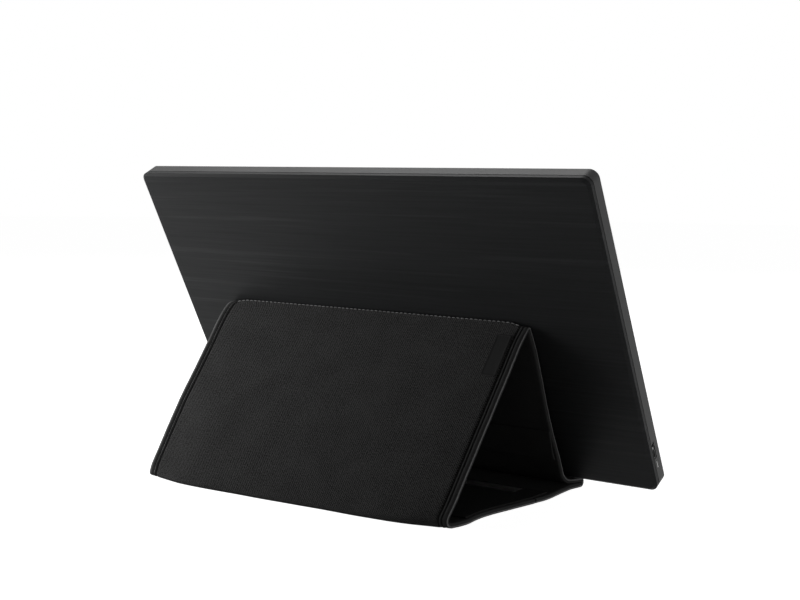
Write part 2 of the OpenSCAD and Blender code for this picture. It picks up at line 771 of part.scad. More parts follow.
// Row of stitches just below the ridge
module ridge_stitches() {
    run = cover_l - 2 * bind_w - 4;
    count = floor(run / stitch_step);
    color("#cfcfcc") on_outer() for (i = [0 : count - 1])
        translate([(i - (count - 1) / 2) * stitch_step - stitch_l / 2,
                   cloth_start + 1, board_t / 2 + cloth_t + stitch_r])
            rotate([0, 90, 0]) cylinder(r = stitch_r, h = stitch_l, $fn = 16);
}

// Folded tag sewn down beside the binding
module tag() {
    color("#3c3d40") on_outer()
        translate([bind_w + bind_gap - cover_l / 2, tag_s, board_t / 2 + cloth_t])
            linear_extrude(tag_t) round_rect(0, 0, tag_w, tag_l, 1);
}

flap_lining_start = start_at(foot_half, cover_t / 2);
module flap_cloth() { color("#2b2b2d") on_flap() face_sheet(cloth_start, flap_l, cloth_t, 1); }
module flap_lining() { color("#1f1f21") on_flap() face_sheet(flap_lining_start, flap_l, lining_t, -1); }
module flap_board() { color("#5b5247") on_flap() stiff_board(start_at(foot_half, board_t / 2), flap_l); }
module flap_binding() {
    color("#3a3a3d") on_flap() edge_binding(flap_lining_start, flap_l, cloth_start, flap_l);
}

// The tongue lies on the flap and base; these are its ends along the flap
tongue_a = flap_l - tongue_flap;
tongue_b = flap_l + butt_gap + tongue_base;
tongue_top = -fold_r - layer_gap - tongue_t;
keeper_w = 12;
module closing_tongue() {
    half = cover_l / 2 - tongue_in;
    color("#2f2f32") on_flap() {
        difference() {
            translate([0, 0, tongue_top]) linear_extrude(tongue_t)
                round_rect(-half, tongue_a, half, tongue_b, 4);
            keeper_strip();
        }
        for (y = [tongue_a + 1, flap_l - seam_w - 2])
            translate([-half + 6, y, -fold_r - layer_gap]) cube([2 * half - 12, seam_w, layer_gap]);
    }
}

// Steel strip inside the tongue, over the magnets
module keeper_strip() {
    half = cover_l / 2 - tongue_in - 8;
    mid = tongue_b - tongue_base / 2;
    translate([-half, mid - keeper_w / 2, tongue_top + (tongue_t - keeper_t) / 2])
        cube([2 * half, keeper_w, keeper_t]);
}
module keeper_plate() { color("#8b8e92") on_flap() keeper_strip(); }

rear_cover();
front_frame();
screen_gasket();
lcd_panel();
optical_films();
light_guide();
reflector();
led_strip();
panel_tray();
panel_brackets();
panel_screws();
foam_pads();
main_board();
board_shield();
board_screws();
timing_board();
panel_ribbon();
usb_socket();
socket_tongue();
key_board();
key_switches();
status_lens();
power_button();
menu_button();
base_cloth();
base_lining();
base_board();
base_binding();
closure_magnets();
toe_cloth();
toe_board();
toe_binding();
toe_fold();
inner_fold();
inner_cloth();
inner_lining();
inner_board();
inner_binding();
ridge_fold();
outer_cloth();
outer_lining();
outer_board();
outer_binding();
foot_fold();
ridge_stitches();
tag();
flap_cloth();
flap_lining();
flap_board();
flap_binding();
closing_tongue();
keeper_plate();
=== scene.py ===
# %% [markdown]
# # A portable monitor leaning on its folded cloth cover
#
# The monitor is a thin display in two plastic shells. Its cover is one long strip of woven
# cloth with stiff boards in it. Folded into a hollow three-sided prism, the strip becomes the
# stand that the display leans on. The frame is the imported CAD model: its hard pieces stay and
# get real finishes here, and its plain cloth solids are replaced by cloth that has thickness,
# folds, bound edges and seams.

# %% Tools and the frame
import json
import math
from functools import partial

import bmesh
import bpy
import numpy as np
from mathutils import Matrix, Vector


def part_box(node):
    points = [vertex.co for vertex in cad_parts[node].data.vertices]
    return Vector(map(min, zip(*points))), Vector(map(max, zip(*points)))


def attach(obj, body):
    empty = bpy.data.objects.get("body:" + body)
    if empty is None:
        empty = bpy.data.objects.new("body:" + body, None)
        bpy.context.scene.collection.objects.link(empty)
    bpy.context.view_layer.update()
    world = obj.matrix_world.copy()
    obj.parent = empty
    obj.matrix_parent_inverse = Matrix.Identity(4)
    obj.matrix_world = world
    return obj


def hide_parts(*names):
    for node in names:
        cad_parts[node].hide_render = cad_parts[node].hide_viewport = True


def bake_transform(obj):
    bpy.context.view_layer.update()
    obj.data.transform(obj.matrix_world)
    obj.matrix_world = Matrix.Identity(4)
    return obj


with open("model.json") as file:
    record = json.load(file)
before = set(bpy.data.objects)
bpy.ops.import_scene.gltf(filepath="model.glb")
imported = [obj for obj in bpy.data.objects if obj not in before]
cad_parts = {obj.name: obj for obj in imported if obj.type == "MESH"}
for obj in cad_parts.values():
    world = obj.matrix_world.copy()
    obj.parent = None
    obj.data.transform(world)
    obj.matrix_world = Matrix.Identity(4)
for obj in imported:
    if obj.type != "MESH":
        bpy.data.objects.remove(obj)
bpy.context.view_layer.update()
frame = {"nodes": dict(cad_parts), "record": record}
nodes = frame["nodes"]
scene = bpy.context.scene
MM = 0.001

# %% [markdown]
# ## Camera
#
# A product picture is taken with a fairly long lens, a little above the table and off to one
# side, so that the back of the display and the open end of the stand both show. The place,
# aim and lens below are numbers that a lens fit gives: a slight roll is part of them. The
# camera comes first, so that every later step can be judged through it.

# %% Camera
LENS, ROLL = 60.21, math.radians(0.67)
CAMERA_PLACE = (-0.5688, 0.7441, 0.2150)
CAMERA_AIM = (0.5856, -0.8054, -0.0916)
camera_data = bpy.data.cameras.new("camera")
camera_data.sensor_width = 36.0
camera_data.lens = LENS
camera_data.clip_end = 50.0
camera = bpy.data.objects.new("camera", camera_data)
scene.collection.objects.link(camera)
aim = Vector(CAMERA_AIM).normalized()
turn = aim.to_track_quat("-Z", "Y").to_matrix() @ Matrix.Rotation(ROLL, 3, "Z")
camera.matrix_world = Matrix.Translation(CAMERA_PLACE) @ turn.to_4x4()
scene.camera = camera
print("camera looks down by", round(math.degrees(math.asin(-aim.z)), 1), "degrees")

# %% [markdown]
# ## Floor, backdrop and light
#
# A packshot has a pale sweep with no horizon, and soft lamps. Here the floor is one wide disc.
# The camera sees it as white paper that glows and still takes the object's shadow. So do rays
# that are reflected or go through glass, so that glossy faces show the pale surroundings too.
# Every other ray meets plain grey paper, so the glow adds no light to matt faces. The world is
# built the same way.
#
# The main lamp stands low on the side where the woven face is brightest. One hangs high over
# the screen side, one lights the side wall with the port, and one far in front lights the
# screen. A narrow spot reaches the display's lower corner, which the stand keeps dark.

# %% Floor and world
def shader_material(name):
    material = bpy.data.materials.new(name)
    material.use_nodes = True
    material.node_tree.nodes.clear()
    return material, material.node_tree


def new_node(tree, kind, x=0, y=0, sockets=None, **values):
    node = tree.nodes.new(kind)
    node.location = (x, y)
    for key, value in values.items():
        setattr(node, key, value)
    for key, value in (sockets or {}).items():
        node.inputs[key].default_value = value
    return node


def sees_backdrop(tree):
    """1 for the rays that see the pale backdrop: the camera's, reflected and through glass."""
    path = new_node(tree, "ShaderNodeLightPath", 0, 200)
    seen = path.outputs["Is Camera Ray"]
    for ray in ("Is Glossy Ray", "Is Transmission Ray"):
        either = new_node(tree, "ShaderNodeMath", 150, 200, operation="MAXIMUM")
        tree.links.new(seen, either.inputs[0])
        tree.links.new(path.outputs[ray], either.inputs[1])
        seen = either.outputs[0]
    return seen


FLOOR_RADIUS, FLOOR_GAP = 6.0, 0.0002
floor_mesh = bpy.data.meshes.new("floor")
floor_builder = bmesh.new()
bmesh.ops.create_circle(floor_builder, cap_ends=True, segments=96, radius=FLOOR_RADIUS)
floor_builder.to_mesh(floor_mesh)
floor_builder.free()
floor = bpy.data.objects.new("floor", floor_mesh)
floor.location.z = -FLOOR_GAP
scene.collection.objects.link(floor)

floor_material, tree = shader_material("pale_floor")
PLAIN_GREY, PAPER, GLOW = (0.55, 0.55, 0.55, 1), (0.9, 0.9, 0.9, 1), 0.975
WHITE, DIM_ROOM, WHITE_WALL = (1, 1, 1, 1), 0.02, 1.0
floor_plain = new_node(tree, "ShaderNodeBsdfPrincipled",
                       sockets={"Roughness": 0.9, "Base Color": PLAIN_GREY})
floor_glow = new_node(tree, "ShaderNodeEmission", 0, -300,
                      {"Color": WHITE, "Strength": GLOW})
floor_face = new_node(tree, "ShaderNodeBsdfDiffuse", 0, -150, {"Color": PAPER})
floor_sum = new_node(tree, "ShaderNodeAddShader", 200, -100)
floor_mix = new_node(tree, "ShaderNodeMixShader", 400, 0)
floor_out = new_node(tree, "ShaderNodeOutputMaterial", 600, 0)
tree.links.new(floor_face.outputs[0], floor_sum.inputs[0])
tree.links.new(floor_glow.outputs[0], floor_sum.inputs[1])
tree.links.new(sees_backdrop(tree), floor_mix.inputs[0])
tree.links.new(floor_plain.outputs[0], floor_mix.inputs[1])
tree.links.new(floor_sum.outputs[0], floor_mix.inputs[2])
tree.links.new(floor_mix.outputs[0], floor_out.inputs[0])
floor_mesh.materials.append(floor_material)

world = bpy.data.worlds.new("world")
scene.world = world
world.use_nodes = True
tree = world.node_tree
tree.nodes.clear()
room_light = new_node(tree, "ShaderNodeBackground",
                      sockets={"Color": WHITE, "Strength": DIM_ROOM})
white_wall = new_node(tree, "ShaderNodeBackground", 0, -200,
                      {"Color": WHITE, "Strength": WHITE_WALL})
world_mix = new_node(tree, "ShaderNodeMixShader", 300, 0)
world_out = new_node(tree, "ShaderNodeOutputWorld", 500, 0)
tree.links.new(sees_backdrop(tree), world_mix.inputs[0])
tree.links.new(room_light.outputs[0], world_mix.inputs[1])
tree.links.new(white_wall.outputs[0], world_mix.inputs[2])
tree.links.new(world_mix.outputs[0], world_out.inputs[0])
print("floor disc:", FLOOR_RADIUS, "m in radius")

# %% Lamps
def hang(name, data, place, target, power):
    data.energy = power
    lamp = bpy.data.objects.new(name, data)
    lamp.location = place
    lamp.rotation_euler = (Vector(target) - Vector(place)).to_track_quat("-Z", "Y").to_euler()
    scene.collection.objects.link(lamp)


def soft_lamp(name, place, target, size, power):
    data = bpy.data.lights.new(name, "AREA")
    data.shape = "RECTANGLE"
    data.size, data.size_y = size
    hang(name, data, place, target, power)


def soft_spot(name, place, target, degrees, softness, power):
    data = bpy.data.lights.new(name, "SPOT")
    data.spot_size, data.spot_blend = math.radians(degrees), 1.0
    data.shadow_soft_size = softness
    hang(name, data, place, target, power)


middle = (0.0, 0.0, 0.10)
soft_lamp("key", (0.52, 0.33, 0.25), (0.05, 0.02, 0.10), (0.32, 0.28), 2.05)
soft_lamp("top", (0.60, -0.66, 1.18), middle, (1.0, 0.8), 5.3)
soft_lamp("side", (-1.3, -0.14, 0.08), (0.0, 0.0, 0.08), (0.5, 0.14), 2.6)
soft_lamp("front", (0.4, -1.8, 1.0), middle, (1.6, 1.2), 3.0)
soft_spot("corner", (-0.36, 0.9, 0.25), (-0.198, -0.072, 0.010), 4.6, 0.05, 12.0)

# %% [markdown]
# ## Shared surface effects
#
# Cloth, grained plastic and brushed faces each appear in more than one material. Each effect
# is a node group with named sockets, made once. A group gives out only values that change
# over the surface: a tint from 0 to 1 and a height for a bump. Coordinates are in metres, so
# a weave has its real pitch whatever piece it is on.

# %% A small kit for node groups
def node_group(name, inputs, outputs):
    tree = bpy.data.node_groups.new(name, "ShaderNodeTree")
    for label, kind, value in inputs:
        socket = tree.interface.new_socket(name=label, in_out="INPUT", socket_type=kind)
        if value is not None:
            socket.default_value = value
    for label in outputs:
        tree.interface.new_socket(name=label, in_out="OUTPUT", socket_type="NodeSocketFloat")
    return tree, new_node(tree, "NodeGroupInput", -900), new_node(tree, "NodeGroupOutput", 900)


def math_node(tree, operation, first, second=None, third=None):
    node = new_node(tree, "ShaderNodeMath", operation=operation)
    for socket, value in zip(node.inputs, (first, second, third)):
        if value is None:
            continue
        if isinstance(value, (int, float)):
            socket.default_value = value
        else:
            tree.links.new(value, socket)
    return node.outputs[0]


def noise_node(tree, vector, scale, detail=3.0, roughness=0.5, stretch=None):
    if stretch is not None:
        squeeze = new_node(tree, "ShaderNodeVectorMath", operation="MULTIPLY")
        tree.links.new(vector, squeeze.inputs[0])
        squeeze.inputs[1].default_value = stretch
        vector = squeeze.outputs[0]
    node = new_node(tree, "ShaderNodeTexNoise",
                    sockets={"Scale": scale, "Detail": detail, "Roughness": roughness})
    tree.links.new(vector, node.inputs["Vector"])
    return node.outputs[0]


print("kit:", [make.__name__ for make in (node_group, math_node, noise_node)])


# %% Weave: raised crossings in a checker, with fine threads and uneven yarn
VECTOR, FLOAT = "NodeSocketVector", "NodeSocketFloat"
weave, weave_in, weave_out = node_group(
    "cloth_weave",
    [("Vector", VECTOR, None), ("Pitch", FLOAT, 0.0023), ("Unevenness", FLOAT, 0.5)],
    ["Tint", "Height"],
)
split = new_node(weave, "ShaderNodeSeparateXYZ", -700)
weave.links.new(weave_in.outputs["Vector"], split.inputs[0])
calc = partial(math_node, weave)
turns = calc("DIVIDE", 2 * math.pi, weave_in.outputs["Pitch"])
warp_way = calc("MULTIPLY", split.outputs[0], turns)
weft_way = calc("MULTIPLY", split.outputs[1], turns)
crossing = calc("MULTIPLY", calc("COSINE", warp_way), calc("COSINE", weft_way))
warp_thread = calc("COSINE", calc("MULTIPLY", warp_way, 4.0))
weft_thread = calc("COSINE", calc("MULTIPLY", weft_way, 4.0))
over_under = calc("GREATER_THAN", crossing, 0.0)
thread = calc("ADD", calc("MULTIPLY", over_under, warp_thread),
              calc("MULTIPLY", calc("SUBTRACT", 1.0, over_under), weft_thread))
yarn = noise_node(weave, weave_in.outputs["Vector"], 900.0, 2.0)
patches = noise_node(weave, weave_in.outputs["Vector"], 45.0, 3.0)
dots = calc("MULTIPLY_ADD", crossing, 0.34, 0.5)
rough_yarn = calc(
    "MULTIPLY",
    calc("ADD", calc("MULTIPLY_ADD", yarn, 2.0, -1.0), calc("MULTIPLY_ADD", patches, 0.4, -0.2)),
    weave_in.outputs["Unevenness"],
)
weave.links.new(calc("ADD", dots, rough_yarn), weave_out.inputs["Tint"])
weave.links.new(calc("ADD", calc("MULTIPLY", thread, 0.16), dots), weave_out.inputs["Height"])
print("weave:", len(weave.nodes), "nodes")

# %% Grain of a moulded surface: a fine pebble, and a slow mottle where hands have touched it
grain, grain_in, grain_out = node_group(
    "moulded_grain", [("Vector", VECTOR, None), ("Scale", FLOAT, 1500.0)], ["Tint", "Height"]
)
pebble = new_node(grain, "ShaderNodeTexNoise", sockets={"Detail": 2.0})
grain.links.new(grain_in.outputs["Vector"], pebble.inputs["Vector"])
grain.links.new(grain_in.outputs["Scale"], pebble.inputs["Scale"])
mottle = noise_node(grain, grain_in.outputs["Vector"], 24.0, 4.0, 0.6)
grain.links.new(pebble.outputs[0], grain_out.inputs["Height"])
grain.links.new(
    math_node(grain, "ADD", math_node(grain, "MULTIPLY", mottle, 0.7),
              math_node(grain, "MULTIPLY", pebble.outputs[0], 0.3)),
    grain_out.inputs["Tint"],
)
print("grain:", len(grain.nodes), "nodes")

# %% Brushed lines: long faint streaks across, a few of them stronger
brushed, brushed_in, brushed_out = node_group(
    "brushed_lines", [("Vector", VECTOR, None), ("Strength", FLOAT, 1.0)], ["Tint", "Height"]
)
hair = noise_node(brushed, brushed_in.outputs["Vector"], 1.0, 3.0, 0.6, (14.0, 900.0, 900.0))
streak = noise_node(brushed, brushed_in.outputs["Vector"], 1.0, 3.0, 0.6, (4.0, 150.0, 150.0))
band = noise_node(brushed, brushed_in.outputs["Vector"], 1.0, 2.0, 0.5, (2.0, 30.0, 30.0))
calc = partial(math_node, brushed)
strong = calc("MAXIMUM", calc("SUBTRACT", streak, 0.56), 0.0)
lines = calc("ADD", calc("MULTIPLY", hair, 0.5),
             calc("ADD", calc("MULTIPLY", strong, 2.4), calc("MULTIPLY", band, 0.35)))
brushed.links.new(calc("MULTIPLY", lines, brushed_in.outputs["Strength"]),
                  brushed_out.inputs["Tint"])
brushed.links.new(hair, brushed_out.inputs["Height"])
print("node groups:", [g.name for g in bpy.data.node_groups])

# %% [markdown]
# ## Finishes
#
# One builder makes every finish: a Principled shader whose colour runs between a dark and a
# light value with the effect's tint, whose roughness runs the same way, and whose bump takes
# the effect's height. What differs is which effect, at what scale, and where its coordinates
# come from: the strip's own map for cloth, and the display's own directions for its shells.
# Cloth and matt plastic have little gloss, because every glossy face here shows the backdrop.

# %% Coordinates
LEAN = math.radians(27.5)


def display_vector(tree):
    place = new_node(tree, "ShaderNodeTexCoord", -1100)
    upright = new_node(tree, "ShaderNodeMapping", -900)
    upright.inputs["Rotation"].default_value = (LEAN, 0, 0)
    tree.links.new(place.outputs["Object"], upright.inputs["Vector"])
    return upright.outputs[0]


def strip_vector(tree):
    place = new_node(tree, "ShaderNodeUVMap", -900)
    place.uv_map = "strip"
    return place.outputs[0]


print("the display leans by", round(math.degrees(LEAN), 1), "degrees")


# %% The finish builder
def finish(name, dark, light, roughness, effect, vector, settings=None, bump=0.1,
           bump_mm=0.05, metallic=0.0, specular=0.5, tint_range=(0.2, 0.8)):
    material, tree = shader_material(name)
    coordinates = vector(tree)
    look = new_node(tree, "ShaderNodeGroup", -600)
    look.node_tree = effect
    tree.links.new(coordinates, look.inputs["Vector"])
    for key, value in (settings or {}).items():
        look.inputs[key].default_value = value
    fit = new_node(tree, "ShaderNodeMapRange", -400, sockets={
        "From Min": tint_range[0], "From Max": tint_range[1]})
    tree.links.new(look.outputs["Tint"], fit.inputs["Value"])
    colour = new_node(tree, "ShaderNodeMix", -200, 100, data_type="RGBA")
    colour.inputs["A"].default_value = (*dark, 1)
    colour.inputs["B"].default_value = (*light, 1)
    tree.links.new(fit.outputs[0], colour.inputs["Factor"])
    rough = new_node(tree, "ShaderNodeMapRange", -200, -150, {
        "To Min": roughness[0], "To Max": roughness[1]})
    tree.links.new(fit.outputs[0], rough.inputs["Value"])
    bumps = new_node(tree, "ShaderNodeBump", -200, -350, {
        "Strength": bump, "Distance": bump_mm * MM})
    tree.links.new(look.outputs["Height"], bumps.inputs["Height"])
    shader = new_node(tree, "ShaderNodeBsdfPrincipled", 100, sockets={
        "Metallic": metallic, "Specular IOR Level": specular})
    tree.links.new(colour.outputs["Result"], shader.inputs["Base Color"])
    tree.links.new(rough.outputs[0], shader.inputs["Roughness"])
    tree.links.new(bumps.outputs[0], shader.inputs["Normal"])
    out = new_node(tree, "ShaderNodeOutputMaterial", 400)
    tree.links.new(shader.outputs[0], out.inputs[0])
    return material


def grey(level, warm=0.0):
    return (level * (1 + warm), level, level * (1 - warm))


print("a slightly cool dark grey:", [round(v, 4) for v in grey(0.03, -0.03)])


# % Finishes of the hard pieces: (dark, light, roughness, what else is set)
finishes = {}


def add_finishes(effect, vector, looks):
    for name, (dark, light, roughness, more) in looks.items():
        finishes[name] = finish(name, dark, light, roughness, effect, vector, **more)


add_finishes(brushed, display_vector, {
    "rear_shell": (grey(0.018, -0.03), grey(0.038, -0.03), (0.5, 0.36),
        dict(bump=0.25, bump_mm=0.02, specular=0.065, tint_range=(0.25, 0.85))),
    "steel": (grey(0.42), grey(0.56), (0.34, 0.26), dict(metallic=1.0, bump=0.15)),
    "steel_dark": (grey(0.18), grey(0.26), (0.4, 0.3), dict(metallic=1.0, bump=0.15)),
    "ribbon": ((0.42, 0.24, 0.03), (0.5, 0.3, 0.05), (0.35, 0.45), {}),
})
add_finishes(grain, display_vector, {
    "front_shell": (grey(0.025, -0.01), grey(0.038, -0.01), (0.46, 0.56),
        dict(bump=0.3, bump_mm=0.03, specular=0.22)),
    "screen_glass": (grey(0.006), grey(0.010), (0.2, 0.26),
        dict(settings={"Scale": 5000.0}, bump=0.04, bump_mm=0.01)),
    "film": (grey(0.72), grey(0.8), (0.3, 0.4), {}),
    "light_guide": (grey(0.78, -0.02), grey(0.86, -0.02), (0.08, 0.14), dict(bump=0.02)),
    "white_film": (grey(0.82), grey(0.9), (0.4, 0.5), {}),
    "lamp_strip": ((0.8, 0.66, 0.28), (0.86, 0.8, 0.55), (0.3, 0.4), {}),
    "foam": (grey(0.010), grey(0.022), (0.9, 1.0),
        dict(settings={"Scale": 900.0}, bump=0.8, bump_mm=0.2)),
    "circuit_board": ((0.008, 0.06, 0.025), (0.015, 0.09, 0.04), (0.3, 0.42), dict(bump=0.15)),
    "black_plastic": (grey(0.008), grey(0.014), (0.42, 0.52), dict(bump=0.2, specular=0.1)),
    "lens": (grey(0.6, -0.02), grey(0.68, -0.02), (0.15, 0.22), dict(bump=0.02)),
    "button": (grey(0.024), grey(0.034), (0.36, 0.46), dict(bump=0.15)),
    "magnet": (grey(0.55), grey(0.62), (0.2, 0.3), dict(metallic=1.0, bump=0.05)),
    "paperboard": ((0.11, 0.085, 0.06), (0.17, 0.14, 0.105), (0.85, 0.95),
        dict(settings={"Scale": 700.0}, bump=0.4, bump_mm=0.1)),
    "print": (grey(0.8), grey(0.9), (0.6, 0.5),
        dict(settings={"Scale": 6000.0}, bump=0.1, bump_mm=0.01)),
})
print("hard finishes:", len(finishes))

# %% Finishes of cloth, thread and lining
add_finishes(weave, strip_vector, {
    "cloth": (grey(0.0105, 0.004), grey(0.101, 0.004), (0.9, 0.8),
        dict(settings={"Pitch": 0.0017, "Unevenness": 0.5}, bump=0.8, bump_mm=0.12,
             specular=0.025)),
    "binding": (grey(0.030), grey(0.056), (0.85, 0.72),
        dict(settings={"Pitch": 0.0011, "Unevenness": 0.3}, bump=0.5, bump_mm=0.08,
             specular=0.04)),
    # Painted highlight: a pale finish on the tape's cut edge, and on the left end's bead and
    # welt, standing in for the light on them
    "worn_edge": (grey(0.14), grey(0.23), (0.7, 0.6),
        dict(settings={"Pitch": 0.0009, "Unevenness": 0.4}, bump=0.4, bump_mm=0.05,
             specular=0.08)),
    # Painted shade: the tape's crease and its sunk and deep lines are darker than its face
    "seam": (grey(0.016), grey(0.030), (0.95, 0.85),
        dict(settings={"Pitch": 0.0009, "Unevenness": 0.4}, bump=0.4, bump_mm=0.05,
             specular=0.02)),
    # Painted shade: the left end's sunk lines, darker than the right end's
    "deep_seam": (grey(0.006), grey(0.014), (0.95, 0.85),
        dict(settings={"Pitch": 0.0009, "Unevenness": 0.4}, bump=0.4, bump_mm=0.05,
             specular=0.02)),
    "thread": (grey(0.30), grey(0.42), (0.75, 0.65),
        dict(settings={"Pitch": 0.0006, "Unevenness": 0.2}, bump=0.3, bump_mm=0.03,
             specular=0.1)),
    "tag_cloth": (grey(0.020), grey(0.032), (0.6, 0.5),
        dict(settings={"Pitch": 0.0008, "Unevenness": 0.2}, bump=0.25, bump_mm=0.04,
             specular=0.06)),
    "tongue_cloth": (grey(0.022), grey(0.040), (0.95, 0.9),
        dict(settings={"Pitch": 0.0012, "Unevenness": 0.3}, bump=0.4, bump_mm=0.06,
             specular=0.012)),
})
add_finishes(grain, strip_vector, {
    "lining": (grey(0.050), grey(0.077), (0.95, 0.85),
        dict(settings={"Scale": 1300.0}, bump=0.5, bump_mm=0.15, specular=0.010)),
})
print("finishes:", len(finishes))

# %% Every CAD node takes the finish of its slot
slot_of = {part["node"]: part["material_slot"] for part in frame["record"]["subparts"]}
for name, node in nodes.items():
    node.data.materials.clear()
    node.data.materials.append(finishes[slot_of[name]])
print("slots in use:", len(set(slot_of.values())))

# %% [markdown]
# ## The strip's path
#
# Seen from its end, the cover is one line: base, toe, inner panel, outer panel, flap. Each
# panel is a straight run with a fold at its end. A point on the cover is given by the panel,
# the distance along it, the distance off its middle line (cloth side positive) and the
# distance across. Each fold has a radius of its own, which changes across the strip: sharp
# where the crease is pressed flat, soft where it opens. A point on the outside of a bend goes
# round it. One deep on the inside stops at the line that halves the corner, as a mitre does.

# %% Smooth lines through a few places
def ease(t):
    t = min(1.0, max(0.0, t))
    return t * t * (3 - 2 * t)


def rolled(t):
    """A quarter of a circle: 0 at an edge, 1 from a little way in."""
    return math.sqrt(max(0.0, 1 - (1 - min(1.0, max(0.0, t))) ** 2))


def curve(t, points):
    """A smooth line through (place, value) points, level beyond its ends."""
    if t <= points[0][0]:
        return points[0][1]
    if t >= points[-1][0]:
        return points[-1][1]
    k = next(i for i in range(1, len(points)) if t <= points[i][0])
    (x0, y0), (x1, y1) = points[k - 1], points[k]

    def slope(i):
        if i == 0 or i == len(points) - 1:
            return 0.0
        return (points[i + 1][1] - points[i - 1][1]) / (points[i + 1][0] - points[i - 1][0])

    w, h = (t - x0) / (x1 - x0), x1 - x0
    return ((1 + 2 * w) * (1 - w) ** 2 * y0 + w * (1 - w) ** 2 * h * slope(k - 1)
            + w * w * (3 - 2 * w) * y1 + w * w * (w - 1) * h * slope(k))


print("a third of the way eases to", round(ease(1 / 3), 2))


# %% Panels and folds, in millimetres, seen from the strip's end
# The fold lines are the frame's own joints. y counts from the display's lower back edge, and
# the inner fold lies INNER_BACK behind it.
joint_at = {j["name"]: j.get("pos_m") for j in frame["record"]["behaviour"]["joints"]}
INNER_BACK = 10.0
MIDDLE_Y = round(INNER_BACK - joint_at["inner_fold_turn"][1] / MM, 3)


def fold_line(joint):
    _, y, z = joint_at[joint]
    return (round(y / MM + MIDDLE_Y, 3), round(z / MM, 3))


INNER, RIDGE, FOOT = map(fold_line, ("inner_fold_turn", "ridge_fold_turn", "foot_fold_turn"))
BASE_Z, TOE_Z = FOOT[1], INNER[1]
FRONT, BASE_END, FLAP_END = -10.5, 56.0, 57.2
LEFT_END, RIGHT_END = 136.0, -126.0
MIDDLE_X = (LEFT_END + RIGHT_END) / 2
# Heights off the middle line: the card's faces, and the outer faces of cloth and lining
CARD_HALF, FACE = 1.0, 1.6
LINE = {
    "base": ((BASE_END, BASE_Z), (FRONT, BASE_Z)),
    "toe": ((FRONT, TOE_Z), INNER),
    "inner": (INNER, RIDGE),
    "outer": (RIDGE, FOOT),
    "flap": (FOOT, (FLAP_END, BASE_Z)),
}
ORDER = list(LINE)
# How round each fold is, across the strip: (place across, radius of the middle line)
ROUND = {
    "inner": [(0, 13.0)],
    "outer": [(-126, 1.3), (-118, 0.8), (-110, 0.2), (118, 0.2), (128, 1.0), (136, 1.3)],
    "flap": [(-126, 3.4), (-118, 3.2), (-109, 2.6), (-102, 2.0), (-88, 1.2), (-72, 0.7),
             (-52, 0.2), (118, 0.2), (128, 0.6), (136, 0.8)],
}


class Panel:
    def __init__(self, name):
        a, b = (np.array(p, float) for p in LINE[name])
        self.a, self.length, self.held = a, float(np.linalg.norm(b - a)), True
        self.along = (b - a) / self.length
        self.out = np.array([-self.along[1], self.along[0]])
        self.low = self.high = lambda n, x: 0.0

    def hold(self, s, n, x):
        return max(self.low(n, x), min(s, self.length - self.high(n, x))) if self.held else s

    def place(self, s, n, x):
        return self.a + self.along * self.hold(s, n, x) + self.out * n


class Fold:
    """The bend between two panels that meet at a fold line."""

    def __init__(self, before, name):
        first, second = panels[before], panels[name]
        self.before, self.first, self.second, self.axis = before, first, second, second.a
        self.points, self.known = ROUND[name], {}
        cross = first.along[0] * second.along[1] - first.along[1] * second.along[0]
        self.turn = math.atan2(cross, float(first.along @ second.along))
        self.sign = math.copysign(1, self.turn)
        self.half = (math.pi - abs(self.turn)) / 2
        sunk = (first.out + second.out) * self.sign
        self.mitre = sunk / np.linalg.norm(sunk)
        self.length = FACE * abs(self.turn)
        first.high = second.low = self.reach

    def radius(self, x):
        if x not in self.known:
            self.known[x] = curve(x, self.points)
        return self.known[x]

    def reach(self, n, x):
        """How far from the fold line a layer's straight run ends."""
        return max(self.radius(x), n * self.sign) / math.tan(self.half)

    def place(self, share, n, x):
        r, deep = self.radius(x), n * self.sign
        if deep >= r:
            return self.axis + self.mitre * deep / math.sin(self.half)
        c, s = math.cos(share * self.turn), math.sin(share * self.turn)
        o = -self.sign * self.first.out
        outward = np.array([c * o[0] - s * o[1], s * o[0] + c * o[1]])
        return self.axis + self.mitre * r / math.sin(self.half) + (r - deep) * outward


class ToeTurn:
    """The toe goes back over the base in a half circle round an empty middle."""

    before, centre = "base", np.array([FRONT, (BASE_Z + TOE_Z) / 2])
    radius = (TOE_Z - BASE_Z) / 2
    length = math.pi * radius

    def reach(self, n, x):
        return 0.0

    def place(self, share, n, x):
        angle = -math.pi / 2 - math.pi * share
        return self.centre + (self.radius + n) * np.array([math.cos(angle), math.sin(angle)])


panels = {name: Panel(name) for name in ORDER}
bends = {"toe": ToeTurn()}
for before, name in (("toe", "inner"), ("inner", "outer"), ("outer", "flap")):
    bends[name] = Fold(before, name)
start_u, run = {}, 0.0
for name in ORDER:
    run += bends[name].length if name in bends else 0.0
    start_u[name] = run
    run += panels[name].length
INNER_L, OUTER_L, FLAP_L = (panels[k].length for k in ("inner", "outer", "flap"))
print("the strip is", round(run), "mm long:",
      {name: round(panel.length, 1) for name, panel in panels.items()})

# %% [markdown]
# ## What use has done to the cover
#
# A cover is cut from cloth and card, and it doesn't fold dead square. Its two ends wander a
# few millimetres from a straight line, the foot's fold swings across the width, the ridge
# droops at its corners, and the inner panel bows under the display. One function gives how
# far each place has strayed. Board, cloth, lining and tape all use it, so the layers stay
# together.

